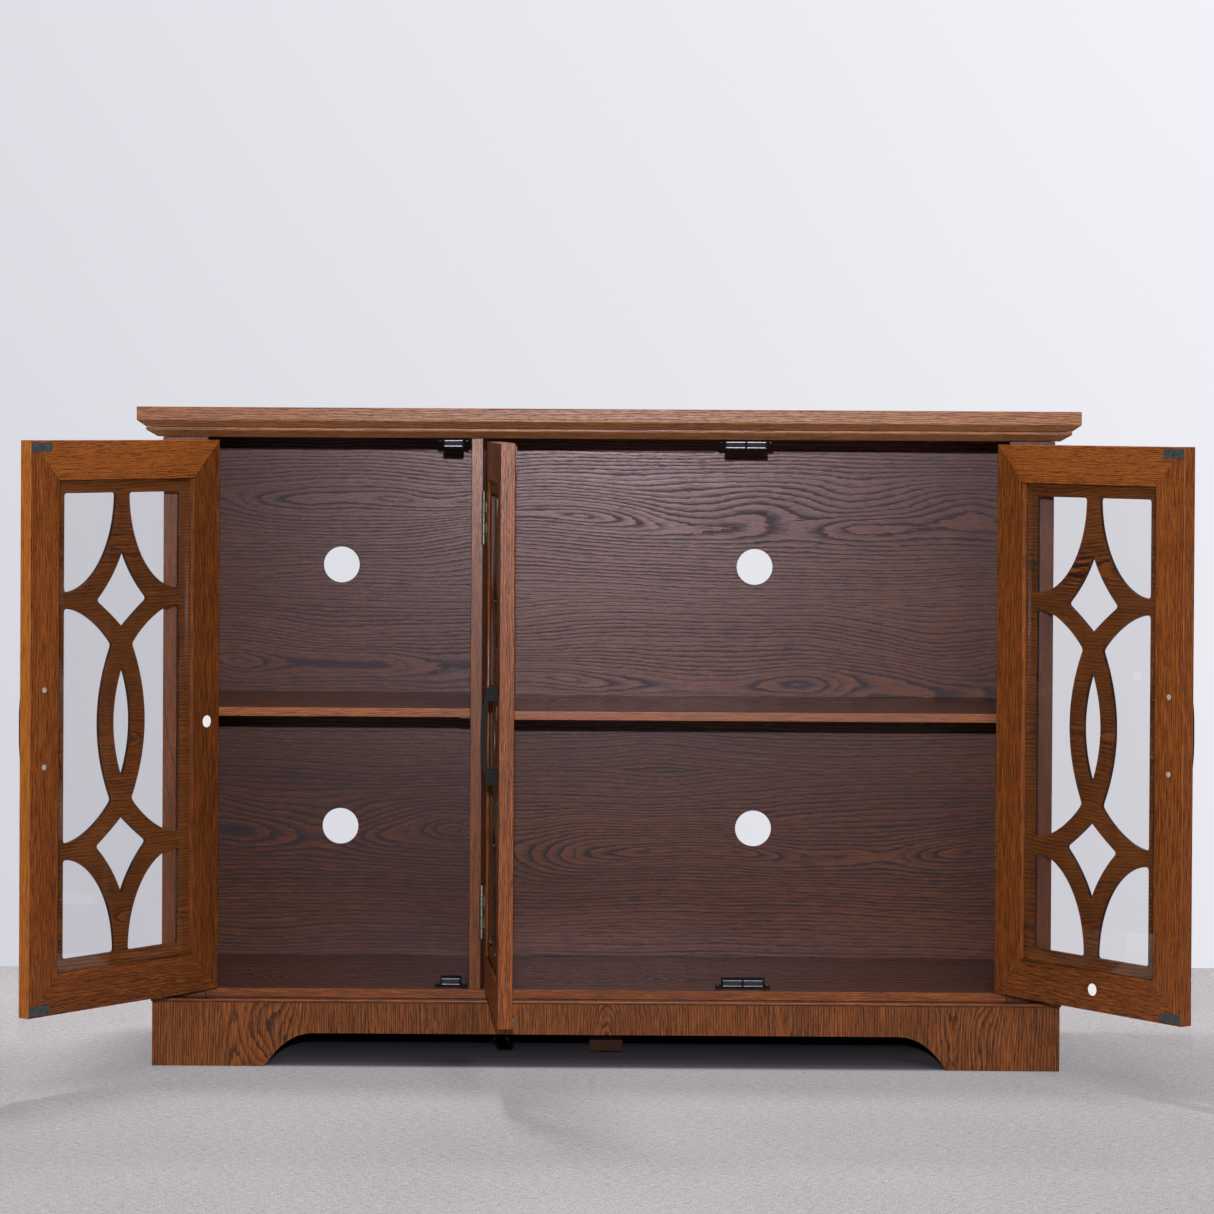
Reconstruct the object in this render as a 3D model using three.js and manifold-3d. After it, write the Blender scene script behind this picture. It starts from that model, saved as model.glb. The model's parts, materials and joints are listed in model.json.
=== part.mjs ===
// Media cabinet with three inset lattice doors, in millimetres, +Z up.
// The front faces -Y. The origin is on the floor, under the middle of the centre foot.
import * as THREE from 'three';
import { mergeVertices } from 'three/addons/utils/BufferGeometryUtils.js';
import Module from 'manifold-3d';

const wasm = await Module();
wasm.setup();

// Driving dimensions.
const GAP = 0.3; // between pieces that touch
const HEIGHT = 863;
const TOP_WIDTH = 1230;
const TOP_THICKNESS = 26;
const SUB_TOP_THICKNESS = 13;
const SUB_TOP_SETBACK = 11; // from the top board's edge, front and sides
const CARCASS_WIDTH = 1168;
const CARCASS_DEPTH = 326;
const PANEL = 18; // side panels, stiles and plinth boards
const STILE_WIDTH = 59;
const DIVIDER_LEFT = -179.5;
const DIVIDER_THICKNESS = 15;
const BOARD = 12; // shelves and bottom board
const BASE_BOARD_THICKNESS = 5;
const PLINTH_HEIGHT = 84;
const PLINTH_STEP = 10; // plinth in front of the stiles
const BASE_STEP = 12; // base board in front of the stiles
const BACK_THICKNESS = 5.4;
const LEFT_SHELF_TOP = 468;
const RIGHT_SHELF_TOP = 465;
const SHELF_FRONT = 26;
const CABLE_HOLE_RADIUS = 25;
const CABLE_HOLE_HEIGHTS = [280.5, 645];
const LEFT_HOLE_X = -373;
const RIGHT_HOLE_X = 202;
const ARCH_HEIGHT = 43.5;
const FRONT_ARCH_HALF = 446; // where the front arch meets the floor
const SIDE_ARCH_HALF = 90;
const FOOT_SIZE = 44;
const FOOT_SETBACK = 128;
const GLIDE_RADIUS = 10;
const GLIDE_HEIGHT = 4;

const DOOR_WIDTH = 341;
const DOOR_HEIGHT = 717;
const DOOR_THICKNESS = 18.5;
const DOOR_BOTTOM = 103;
const FRAME_WIDTH = 50;
const GROOVE_FRONT = 3; // from the door's front face
const GROOVE_BACK = 12;
const GROOVE_DEPTH = 5;
const LATTICE_THICKNESS = 5;
const GLASS_THICKNESS = 3;
const HINGE_GAP = 2.6; // between a door and the post that carries it
const PIN_FORWARD = 3.2; // hinge pin in front of the closed doors
const OPEN_WIDE = 127; // rest angle of the left and right doors
const OPEN_MIDDLE = 85; // rest angle of the middle door

// Fretwork, measured from the middle of the door.
const FRET_HALF_WIDTH = 103.5;
const FRET_HALF_HEIGHT = 292;
const STEM_HALF = 12.3;
const CORNER_RISE = 124; // height of a corner opening
const DIAMOND_TIP = 218.7;
const DIAMOND_SIDE = 155.6;
const DIAMOND_HALF = 46;
const DIAMOND_BASE = 120.8;
const SIDE_TIP = 147.2; // where a side opening starts at the border
const WAIST = 98.5;
const WAIST_HALF = 17.8;
const RING_HALF = 41.4;
const EYE_HALF_HEIGHT = 70.6;
const EYE_HALF_WIDTH = 15.1;

const HANDLE_INSET = 24.5; // from the door's free edge
const HANDLE_WIDTH = 11;
const HANDLE_HALF = 61;
const HANDLE_FOOT = 19;
const HANDLE_REACH = 20.5;
const HANDLE_BAR = 6;
const STRIKE_LENGTH = 35.5;
const STRIKE_HEIGHT = 11.5;
const STRIKE_THICKNESS = 1.2;
const STRIKE_INSET = 2.7;
const CATCH_HEIGHT = 12.7;
const CATCH_DEPTH = 14;
const CATCH_FRONT = 21.5;
const CATCH_EAR_HEIGHT = 3;
const CATCH_TO_DIVIDER = 25;

const HINGE_LENGTH = 70;
const HINGE_FROM_END = 100;
const KNUCKLES = 5;
const KNUCKLE_RADIUS = 3;
const KNUCKLE_BORE = 1.6;
const HINGE_PIN_RADIUS = 1.3;
const LEAF_THICKNESS = 0.8;
const LEAF_NEAR = 0.25; // leaf's face from the middle of the hinge gap
const LEAF_DEPTH = 14;

// Levels and faces worked out from them.
const HALF = CARCASS_WIDTH / 2;
const TOP_BOTTOM = HEIGHT - TOP_THICKNESS;
const SUB_TOP_BOTTOM = TOP_BOTTOM - SUB_TOP_THICKNESS;
const CARCASS_TOP = SUB_TOP_BOTTOM - GAP;
const CARCASS_BOTTOM = PLINTH_HEIGHT + BASE_BOARD_THICKNESS;
const FLOOR = CARCASS_BOTTOM + BOARD;
const STILE_INNER = HALF - STILE_WIDTH;
const SIDE_INNER = HALF - PANEL;
const BACK_FRONT = CARCASS_DEPTH - GAP - BACK_THICKNESS;
const DIVIDER_RIGHT = DIVIDER_LEFT + DIVIDER_THICKNESS;
const DOOR_TOP = DOOR_BOTTOM + DOOR_HEIGHT;
const DOOR_FACE = PIN_FORWARD; // door's front face behind the pin
const DOOR_BACK = DOOR_FACE + DOOR_THICKNESS;

const WOOD = { color: 0x8a4f26, roughness: 0.45, metalness: 0 };
const INNER_WOOD = { color: 0x6b4636, roughness: 0.55, metalness: 0 };
const BLACK = { color: 0x17181a, roughness: 0.4, metalness: 0.3 };
const PLASTIC = { color: 0x131313, roughness: 0.5, metalness: 0 };
const STEEL = { color: 0x8d9196, roughness: 0.35, metalness: 1 };
const NICKEL = { color: 0xb9b39c, roughness: 0.3, metalness: 1 };
const GLASS = { color: 0xe8f0ee, roughness: 0.05, metalness: 0, transparent: true, opacity: 0.2 };

// The carcass is laid out from the plane of the stiles and closed doors (y = 0).
const cabinet = new THREE.Group();
cabinet.position.y = -FOOT_SETBACK;

function addMesh(parent, name, geometry, look) {
  const mesh = new THREE.Mesh(geometry, new THREE.MeshStandardMaterial(look));
  mesh.name = name;
  parent.add(mesh);
  return mesh;
}

// A box between two corners.
function boxBetween(low, high) {
  const size = high.map((value, axis) => value - low[axis]);
  const geometry = new THREE.BoxGeometry(...size);
  const middle = high.map((value, axis) => (value + low[axis]) / 2);
  return geometry.translate(...middle);
}

// A shape drawn in X and Z, extruded along +Y from yFront to yBack.
function extrudeDepth(shape, yFront, yBack, curveSegments = 8) {
  const geometry = new THREE.ExtrudeGeometry(shape, {
    depth: yBack - yFront,
    bevelEnabled: false,
    curveSegments,
  });
  return geometry.rotateX(Math.PI / 2).translate(0, yBack, 0);
}

// A shape drawn in X and Y, extruded up from zLow to zHigh.
function extrudeUp(shape, zLow, zHigh, curveSegments = 8) {
  const geometry = new THREE.ExtrudeGeometry(shape, {
    depth: zHigh - zLow,
    bevelEnabled: false,
    curveSegments,
  });
  return geometry.translate(0, 0, zLow);
}

// A shape drawn in Y and Z, extruded along X from xLow to xHigh.
function extrudeAcross(shape, xLow, xHigh, curveSegments = 8) {
  const geometry = new THREE.ExtrudeGeometry(shape, {
    depth: xHigh - xLow,
    bevelEnabled: false,
    curveSegments,
  });
  return geometry.rotateX(Math.PI / 2).rotateZ(Math.PI / 2).translate(xLow, 0, 0);
}

function polygon(points) {
  return new THREE.Shape(points.map(([x, y]) => new THREE.Vector2(x, y)));
}

function toSolid(geometry) {
  const bare = geometry.clone();
  bare.deleteAttribute('normal');
  bare.deleteAttribute('uv');
  const merged = mergeVertices(bare, 1e-3);
  const vertProperties = Float32Array.from(merged.attributes.position.array);
  const triVerts = Uint32Array.from(merged.index.array);
  return new wasm.Manifold(new wasm.Mesh({ numProp: 3, vertProperties, triVerts }));
}

function toGeometry(solid) {
  const mesh = solid.getMesh();
  const geometry = new THREE.BufferGeometry();
  geometry.setAttribute('position', new THREE.BufferAttribute(mesh.vertProperties, 3));
  geometry.setIndex(new THREE.BufferAttribute(mesh.triVerts, 1));
  geometry.computeVertexNormals();
  return geometry;
}

function join(geometries) {
  const solids = geometries.map(toSolid);
  return toGeometry(solids.reduce((all, next) => all.add(next)));
}

function cut(geometry, tools) {
  const solids = tools.map(toSolid);
  return toGeometry(solids.reduce((rest, tool) => rest.subtract(tool), toSolid(geometry)));
}

function uprightCylinder(radius, zLow, zHigh, sides) {
  const geometry = new THREE.CylinderGeometry(radius, radius, zHigh - zLow, sides);
  return geometry.rotateX(Math.PI / 2).translate(0, 0, (zLow + zHigh) / 2);
}

// A board whose lower edge is chamfered at the front and at both sides.
function chamferedBoard({ half, front, back, low, high, run, rise }) {
  const across = polygon([
    [-half, high],
    [-half, low + rise],
    [-half + run, low],
    [half - run, low],
    [half, low + rise],
    [half, high],
  ]);
  const along = polygon([
    [front, high],
    [front, low + rise],
    [front + run, low],
    [back, low],
    [back, high],
  ]);
  const lengthways = toSolid(extrudeDepth(across, front, back));
  const sideways = toSolid(extrudeAcross(along, -half, half));
  return toGeometry(lengthways.intersect(sideways));
}

function addTopBoards() {
  const half = TOP_WIDTH / 2;
  const overhang = half - HALF;
  addMesh(cabinet, 'top_board', chamferedBoard({
    half,
    front: -overhang,
    back: CARCASS_DEPTH + 3,
    low: TOP_BOTTOM,
    high: HEIGHT,
    run: SUB_TOP_SETBACK,
    rise: 8.5,
  }), WOOD);
  addMesh(cabinet, 'sub_top_board', chamferedBoard({
    half: half - SUB_TOP_SETBACK,
    front: SUB_TOP_SETBACK - overhang,
    back: CARCASS_DEPTH,
    low: SUB_TOP_BOTTOM,
    high: TOP_BOTTOM - GAP,
    run: 14,
    rise: 8.7,
  }), WOOD);
}

function addSidesAndStiles() {
  for (const [side, name] of [[-1, 'left'], [1, 'right']]) {
    const outer = side * HALF;
    const panelInner = side * SIDE_INNER;
    const stileInner = side * STILE_INNER;
    addMesh(cabinet, `${name}_side_panel`, boxBetween(
      [Math.min(outer, panelInner), PANEL + GAP, CARCASS_BOTTOM],
      [Math.max(outer, panelInner), CARCASS_DEPTH, CARCASS_TOP],
    ), WOOD);
    addMesh(cabinet, `${name}_front_stile`, boxBetween(
      [Math.min(outer, stileInner), 0, CARCASS_BOTTOM],
      [Math.max(outer, stileInner), PANEL, CARCASS_TOP],
    ), WOOD);
  }
  addMesh(cabinet, 'centre_divider', boxBetween(
    [DIVIDER_LEFT, 0, FLOOR + GAP],
    [DIVIDER_RIGHT, BACK_FRONT - GAP, CARCASS_TOP],
  ), WOOD);
}

// The bottom board is notched round the two stiles, so that its edge shows between them.
function addBottomBoards() {
  const wide = SIDE_INNER - GAP;
  const narrow = STILE_INNER - GAP;
  const notch = PANEL + GAP;
  const outline = polygon([
    [-narrow, 0],
    [narrow, 0],
    [narrow, notch],
    [wide, notch],
    [wide, BACK_FRONT - GAP],
    [-wide, BACK_FRONT - GAP],
    [-wide, notch],
    [-narrow, notch],
  ]);
  addMesh(cabinet, 'bottom_board', extrudeUp(outline, CARCASS_BOTTOM, FLOOR), WOOD);
  const baseHalf = HALF + BASE_STEP;
  addMesh(cabinet, 'base_board', boxBetween(
    [-baseHalf, -BASE_STEP, PLINTH_HEIGHT],
    [baseHalf, CARCASS_DEPTH, CARCASS_BOTTOM - GAP],
  ), WOOD);
}

function addBackPanels() {
  const seam = (DIVIDER_LEFT + DIVIDER_RIGHT) / 2;
  const panels = [
    ['left_back_panel', GAP - SIDE_INNER, seam - GAP, LEFT_HOLE_X],
    ['right_back_panel', seam + GAP, SIDE_INNER - GAP, RIGHT_HOLE_X],
  ];
  for (const [name, low, high, holeX] of panels) {
    const shape = polygon([
      [low, CARCASS_BOTTOM],
      [high, CARCASS_BOTTOM],
      [high, CARCASS_TOP],
      [low, CARCASS_TOP],
    ]);
    for (const holeZ of CABLE_HOLE_HEIGHTS) {
      const hole = new THREE.Path();
      hole.absarc(holeX, holeZ, CABLE_HOLE_RADIUS, 0, 2 * Math.PI, true);
      shape.holes.push(hole);
    }
    addMesh(cabinet, name, extrudeDepth(shape, BACK_FRONT, BACK_FRONT + BACK_THICKNESS, 16), INNER_WOOD);
  }
}

function addShelves() {
  const slack = 1; // shelves drop in between the uprights
  addMesh(cabinet, 'left_shelf', boxBetween(
    [slack - SIDE_INNER, SHELF_FRONT, LEFT_SHELF_TOP - BOARD],
    [DIVIDER_LEFT - slack, BACK_FRONT - slack, LEFT_SHELF_TOP],
  ), INNER_WOOD);
  addMesh(cabinet, 'right_shelf', boxBetween(
    [DIVIDER_RIGHT + slack, SHELF_FRONT, RIGHT_SHELF_TOP - BOARD],
    [SIDE_INNER - slack, BACK_FRONT - slack, RIGHT_SHELF_TOP],
  ), INNER_WOOD);
}

// One plinth board, drawn along its length with the bracket-foot arch cut out below.
function archedBoard(low, high, centre, archHalf) {
  const cove = 64; // length of the curved end of the arch
  const shape = new THREE.Shape();
  const left = centre - archHalf;
  const right = centre + archHalf;
  shape.moveTo(low, 0);
  shape.lineTo(left, 0);
  shape.bezierCurveTo(left + 17, 27, left + 36, ARCH_HEIGHT, left + cove, ARCH_HEIGHT);
  shape.lineTo(right - cove, ARCH_HEIGHT);
  shape.bezierCurveTo(right - 36, ARCH_HEIGHT, right - 17, 27, right, 0);
  shape.lineTo(high, 0);
  shape.lineTo(high, PLINTH_HEIGHT - GAP);
  shape.lineTo(low, PLINTH_HEIGHT - GAP);
  shape.closePath();
  return shape;
}

function addPlinth() {
  const outer = HALF + PLINTH_STEP;
  const front = archedBoard(-outer, outer, 0, FRONT_ARCH_HALF);
  addMesh(cabinet, 'front_plinth', extrudeDepth(front, -PLINTH_STEP, PANEL - PLINTH_STEP), WOOD);
  const sideFront = PANEL - PLINTH_STEP + GAP;
  const sideBack = CARCASS_DEPTH - 4;
  const side = archedBoard(sideFront, sideBack, (sideFront + sideBack) / 2, SIDE_ARCH_HALF);
  addMesh(cabinet, 'left_plinth', extrudeAcross(side, -outer, PANEL - outer), WOOD);
  addMesh(cabinet, 'right_plinth', extrudeAcross(side, outer - PANEL, outer), WOOD);
}

function addCentreFoot() {
  const half = FOOT_SIZE / 2;
  const block = boxBetween([-half, -half, GLIDE_HEIGHT], [half, half, PLINTH_HEIGHT - GAP]);
  const glide = uprightCylinder(GLIDE_RADIUS, 0, GLIDE_HEIGHT + 1, 24);
  const foot = addMesh(cabinet, 'centre_foot', join([block, glide]), WOOD);
  foot.position.y = FOOT_SETBACK;
}

// A magnetic catch: a body with a screw ear at each end, against the board it hangs from.
function addCatch(name, centreX, atTop, bodyHalf) {
  const earHalf = bodyHalf + 7.5;
  const mounted = atTop ? CARCASS_TOP : FLOOR + GAP;
  const towards = atTop ? -1 : 1;
  const ear = mounted + towards * CATCH_EAR_HEIGHT;
  const face = mounted + towards * CATCH_HEIGHT;
  const shape = polygon([
    [-earHalf, mounted],
    [-earHalf, ear],
    [-bodyHalf, ear],
    [-bodyHalf, face],
    [bodyHalf, face],
    [bodyHalf, ear],
    [earHalf, ear],
    [earHalf, mounted],
  ]);
  const mesh = addMesh(cabinet, name, extrudeDepth(shape, CATCH_FRONT, CATCH_FRONT + CATCH_DEPTH), PLASTIC);
  mesh.position.x = centreX;
}

function addCatches() {
  const single = 13.5;
  const double = 28.5;
  const leftX = DIVIDER_LEFT - CATCH_TO_DIVIDER;
  const meetingX = (DIVIDER_RIGHT + STILE_INNER) / 2;
  addCatch('left_top_catch', leftX, true, single);
  addCatch('left_bottom_catch', leftX, false, single);
  addCatch('centre_top_catch', meetingX, true, double);
  addCatch('centre_bottom_catch', meetingX, false, double);
}

// Door members are drawn with x from the hinge edge to the free edge and z from the door's foot.
// hand is 1 for a door hinged on its left edge and -1 for one hinged on its right edge.
function handed(points, hand) {
  return polygon(points.map(([x, z]) => [hand * (HINGE_GAP / 2 + x), z]));
}

function grooveTool(hand) {
  const inset = FRAME_WIDTH - GROOVE_DEPTH;
  const pocket = handed([
    [inset, inset],
    [DOOR_WIDTH - inset, inset],
    [DOOR_WIDTH - inset, DOOR_HEIGHT - inset],
    [inset, DOOR_HEIGHT - inset],
  ], hand);
  return extrudeDepth(pocket, DOOR_FACE + GROOVE_FRONT, DOOR_FACE + GROOVE_BACK);
}

function addDoorFrame(door, prefix, hand) {
  const mitre = GAP / Math.SQRT2; // half the mitre gap, along the member's end
  const w = DOOR_WIDTH;
  const h = DOOR_HEIGHT;
  const f = FRAME_WIDTH;
  const members = {
    hinge_stile: [[0, mitre], [f, f + mitre], [f, h - f - mitre], [0, h - mitre]],
    free_stile: [[w, mitre], [w - f, f + mitre], [w - f, h - f - mitre], [w, h - mitre]],
    bottom_rail: [[mitre, 0], [w - mitre, 0], [w - f - mitre, f], [f + mitre, f]],
    top_rail: [[mitre, h], [w - mitre, h], [w - f - mitre, h - f], [f + mitre, h - f]],
  };
  for (const [member, outline] of Object.entries(members)) {
    const board = extrudeDepth(handed(outline, hand), DOOR_FACE, DOOR_BACK);
    addMesh(door, `${prefix}_${member}`, cut(board, [grooveTool(hand)]), WOOD);
  }
}

// Openings of the fretwork, for one sign of x (sx) and one of z (sz) about the door's middle.
function cornerOpening(sx, sz) {
  const path = new THREE.Shape();
  const edge = STEM_HALF;
  const kappa = 0.5523; // cubic that follows a quarter of an ellipse
  const width = FRET_HALF_WIDTH - edge;
  path.moveTo(sx * edge, sz * FRET_HALF_HEIGHT);
  path.bezierCurveTo(
    sx * edge, sz * (FRET_HALF_HEIGHT - kappa * CORNER_RISE),
    sx * (FRET_HALF_WIDTH - kappa * width), sz * (FRET_HALF_HEIGHT - CORNER_RISE),
    sx * FRET_HALF_WIDTH, sz * (FRET_HALF_HEIGHT - CORNER_RISE),
  );
  path.lineTo(sx * FRET_HALF_WIDTH, sz * FRET_HALF_HEIGHT);
  path.closePath();
  return path;
}

function diamondOpening(sz) {
  const path = new THREE.Shape();
  path.moveTo(0, sz * DIAMOND_TIP);
  path.quadraticCurveTo(15, sz * 184, DIAMOND_HALF, sz * DIAMOND_SIDE);
  path.quadraticCurveTo(21, sz * 139, 0, sz * DIAMOND_BASE);
  path.quadraticCurveTo(-21, sz * 139, -DIAMOND_HALF, sz * DIAMOND_SIDE);
  path.quadraticCurveTo(-15, sz * 184, 0, sz * DIAMOND_TIP);
  return path;
}

function sideOpening(sx) {
  const path = new THREE.Shape();
  const reach = 2 * RING_HALF - WAIST_HALF; // control point of the ring's outer curve
  path.moveTo(sx * FRET_HALF_WIDTH, -SIDE_TIP);
  path.lineTo(sx * FRET_HALF_WIDTH, SIDE_TIP);
  path.bezierCurveTo(sx * 69, SIDE_TIP, sx * 33, 118, sx * WAIST_HALF, WAIST);
  path.quadraticCurveTo(sx * reach, 0, sx * WAIST_HALF, -WAIST);
  path.bezierCurveTo(sx * 33, -118, sx * 69, -SIDE_TIP, sx * FRET_HALF_WIDTH, -SIDE_TIP);
  return path;
}

function eyeOpening() {
  const path = new THREE.Shape();
  path.moveTo(0, EYE_HALF_HEIGHT);
  path.quadraticCurveTo(2 * EYE_HALF_WIDTH, 0, 0, -EYE_HALF_HEIGHT);
  path.quadraticCurveTo(-2 * EYE_HALF_WIDTH, 0, 0, EYE_HALF_HEIGHT);
  return path;
}

function addLatticeAndGlass(door, prefix, hand) {
  const margin = GROOVE_DEPTH - 0.4 - FRAME_WIDTH;
  const half = DOOR_WIDTH / 2 + margin;
  const halfHeight = DOOR_HEIGHT / 2 + margin;
  const front = DOOR_FACE + GROOVE_FRONT + GAP;
  const back = front + LATTICE_THICKNESS;
  const openings = [diamondOpening(1), diamondOpening(-1), eyeOpening()];
  for (const sx of [-1, 1]) {
    openings.push(cornerOpening(sx, 1), cornerOpening(sx, -1), sideOpening(sx));
  }
  const blank = boxBetween([-half, front, -halfHeight], [half, back, halfHeight]);
  const lattice = cut(blank, openings.map((shape) => extrudeDepth(shape, front - 1, back + 1)));
  const glassFront = back + GAP;
  const glass = boxBetween(
    [-half, glassFront, -halfHeight],
    [half, glassFront + GLASS_THICKNESS, halfHeight],
  );
  const middle = [hand * (HINGE_GAP + DOOR_WIDTH) / 2, 0, DOOR_HEIGHT / 2];
  addMesh(door, `${prefix}_lattice`, lattice, WOOD).position.set(...middle);
  addMesh(door, `${prefix}_glass`, glass, GLASS).position.set(...middle);
}

// A bow pull drawn from the side: y is negative away from the door's face.
function addHandle(door, prefix, hand) {
  const reach = HANDLE_REACH;
  const inner = reach - HANDLE_BAR;
  const shape = new THREE.Shape();
  shape.moveTo(0, HANDLE_HALF);
  shape.lineTo(-9, HANDLE_HALF);
  shape.lineTo(-13, HANDLE_HALF - 4);
  shape.bezierCurveTo(-reach, 42, -reach, 20, -reach, 0);
  shape.bezierCurveTo(-reach, -20, -reach, -42, -13, 4 - HANDLE_HALF);
  shape.lineTo(-9, -HANDLE_HALF);
  shape.lineTo(0, -HANDLE_HALF);
  shape.lineTo(0, HANDLE_FOOT - HANDLE_HALF);
  shape.lineTo(-inner + 2, HANDLE_FOOT - HANDLE_HALF);
  shape.quadraticCurveTo(-inner - 1, 0, -inner + 2, HANDLE_HALF - HANDLE_FOOT);
  shape.lineTo(0, HANDLE_HALF - HANDLE_FOOT);
  shape.closePath();
  const handle = addMesh(door, `${prefix}_handle`, extrudeAcross(
    shape,
    -HANDLE_WIDTH / 2,
    HANDLE_WIDTH / 2,
  ), BLACK);
  handle.position.set(
    hand * (HINGE_GAP / 2 + DOOR_WIDTH - HANDLE_INSET),
    DOOR_FACE - GAP,
    DOOR_HEIGHT / 2,
  );
}

function addStrikePlates(door, prefix, hand) {
  const radius = STRIKE_HEIGHT / 2;
  const shape = new THREE.Shape();
  shape.moveTo(0, -radius);
  shape.lineTo(hand * (radius - STRIKE_LENGTH), -radius);
  shape.absarc(hand * (radius - STRIKE_LENGTH), 0, radius, -Math.PI / 2, Math.PI / 2, hand > 0);
  shape.lineTo(0, radius);
  shape.closePath();
  const front = DOOR_BACK + GAP;
  const edge = hand * (HINGE_GAP / 2 + DOOR_WIDTH - 0.6);
  const levels = {
    upper: DOOR_HEIGHT - STRIKE_INSET - radius,
    lower: STRIKE_INSET + radius,
  };
  for (const [level, z] of Object.entries(levels)) {
    const plate = extrudeDepth(shape, front, front + STRIKE_THICKNESS);
    addMesh(door, `${prefix}_${level}_strike_plate`, plate, STEEL).position.set(edge, 0, z);
  }
}

// One leaf of a butt hinge, round the pin at x = y = 0. toward is the side its plate lies on,
// and parity picks the knuckles that belong to it.
function hingeLeaf(toward, parity, hasPin) {
  const pitch = HINGE_LENGTH / KNUCKLES;
  const xNear = toward * LEAF_NEAR;
  const xFar = toward * (LEAF_NEAR + LEAF_THICKNESS);
  const low = Math.min(xNear, xFar);
  const high = Math.max(xNear, xFar);
  const clear = KNUCKLE_RADIUS + 0.4;
  const bottom = -HINGE_LENGTH / 2;
  const pieces = [boxBetween([low, clear, bottom], [high, clear + LEAF_DEPTH, -bottom])];
  for (let i = parity; i < KNUCKLES; i += 2) {
    const zLow = bottom + i * pitch + (i > 0 ? GAP / 2 : 0);
    const zHigh = bottom + (i + 1) * pitch - (i < KNUCKLES - 1 ? GAP / 2 : 0);
    pieces.push(uprightCylinder(KNUCKLE_RADIUS, zLow, zHigh, 20));
    pieces.push(boxBetween([low, KNUCKLE_RADIUS - 0.9, zLow], [high, clear + 0.5, zHigh]));
  }
  if (hasPin) {
    pieces.push(uprightCylinder(HINGE_PIN_RADIUS, bottom, -bottom, 12));
    return join(pieces);
  }
  return cut(join(pieces), [uprightCylinder(KNUCKLE_BORE, bottom - 1, 1 - bottom, 12)]);
}

function addHinges(door, prefix, hand, pinX) {
  const levels = {
    upper: DOOR_TOP - HINGE_FROM_END,
    lower: DOOR_BOTTOM + HINGE_FROM_END,
  };
  for (const [level, z] of Object.entries(levels)) {
    const fixed = hingeLeaf(-hand, 0, true);
    addMesh(cabinet, `${prefix}_${level}_hinge_fixed_leaf`, fixed, NICKEL)
      .position.set(pinX, -PIN_FORWARD, z);
    const moving = hingeLeaf(hand, 1, false);
    addMesh(door, `${prefix}_${level}_hinge_door_leaf`, moving, NICKEL)
      .position.set(0, 0, z - DOOR_BOTTOM);
  }
}

function addDoor(prefix, pinX, hand, openAngle) {
  const door = new THREE.Group();
  door.position.set(pinX, -PIN_FORWARD, DOOR_BOTTOM);
  door.rotation.z = -hand * THREE.MathUtils.degToRad(openAngle);
  cabinet.add(door);
  addDoorFrame(door, prefix, hand);
  addLatticeAndGlass(door, prefix, hand);
  addHandle(door, prefix, hand);
  addStrikePlates(door, prefix, hand);
  addHinges(door, prefix, hand, pinX);
}

addTopBoards();
addSidesAndStiles();
addBottomBoards();
addBackPanels();
addShelves();
addPlinth();
addCentreFoot();
addCatches();
addDoor('left_door', -STILE_INNER + HINGE_GAP / 2, 1, OPEN_WIDE);
addDoor('middle_door', DIVIDER_RIGHT + HINGE_GAP / 2, 1, OPEN_MIDDLE);
addDoor('right_door', STILE_INNER - HINGE_GAP / 2, -1, OPEN_WIDE);

const model = new THREE.Group();
model.add(cabinet);

export default model;
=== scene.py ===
"""Looks of a three-door media cabinet in oak veneer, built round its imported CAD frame.

The cabinet's pieces are drawn in millimetres, and MM turns them into metres. The camera, the
stage, the lights and the wood's grain are in metres. Each door is drawn in its own coordinates:
x from the hinge pin to the free edge, y from the pin back through the door, and z up from the
door's foot.
"""
import json
import math

import bmesh
import bpy
from mathutils import Matrix, Vector


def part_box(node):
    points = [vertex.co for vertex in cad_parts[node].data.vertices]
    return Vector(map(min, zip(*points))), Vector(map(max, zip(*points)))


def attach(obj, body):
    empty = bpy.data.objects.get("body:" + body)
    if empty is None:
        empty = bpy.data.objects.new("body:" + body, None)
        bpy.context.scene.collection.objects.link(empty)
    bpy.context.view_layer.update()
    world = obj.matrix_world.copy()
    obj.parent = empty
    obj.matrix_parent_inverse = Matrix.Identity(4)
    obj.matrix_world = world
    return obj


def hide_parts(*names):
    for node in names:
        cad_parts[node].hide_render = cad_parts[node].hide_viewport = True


MM = 0.001

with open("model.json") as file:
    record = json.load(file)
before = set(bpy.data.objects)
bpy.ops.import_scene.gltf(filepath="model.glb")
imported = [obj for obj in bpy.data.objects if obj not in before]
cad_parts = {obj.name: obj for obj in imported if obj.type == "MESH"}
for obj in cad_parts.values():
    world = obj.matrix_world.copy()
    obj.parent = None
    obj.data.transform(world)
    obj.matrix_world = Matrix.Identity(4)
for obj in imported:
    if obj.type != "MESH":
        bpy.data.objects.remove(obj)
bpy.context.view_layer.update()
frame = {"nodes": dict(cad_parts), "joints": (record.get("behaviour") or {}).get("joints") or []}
scene = bpy.context.scene

# ---------------------------------------------------------------- camera, stage and light

CAMERA_PLACE = (0.0295, -5.214, 0.856)
CAMERA_YAW = 0.359  # degrees, as are the next two
CAMERA_DOWN = 0.676
CAMERA_ROLL = 0.334
SENSOR = 36.0
LENS = 115.2
LENS_RISE = -0.1208


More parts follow.
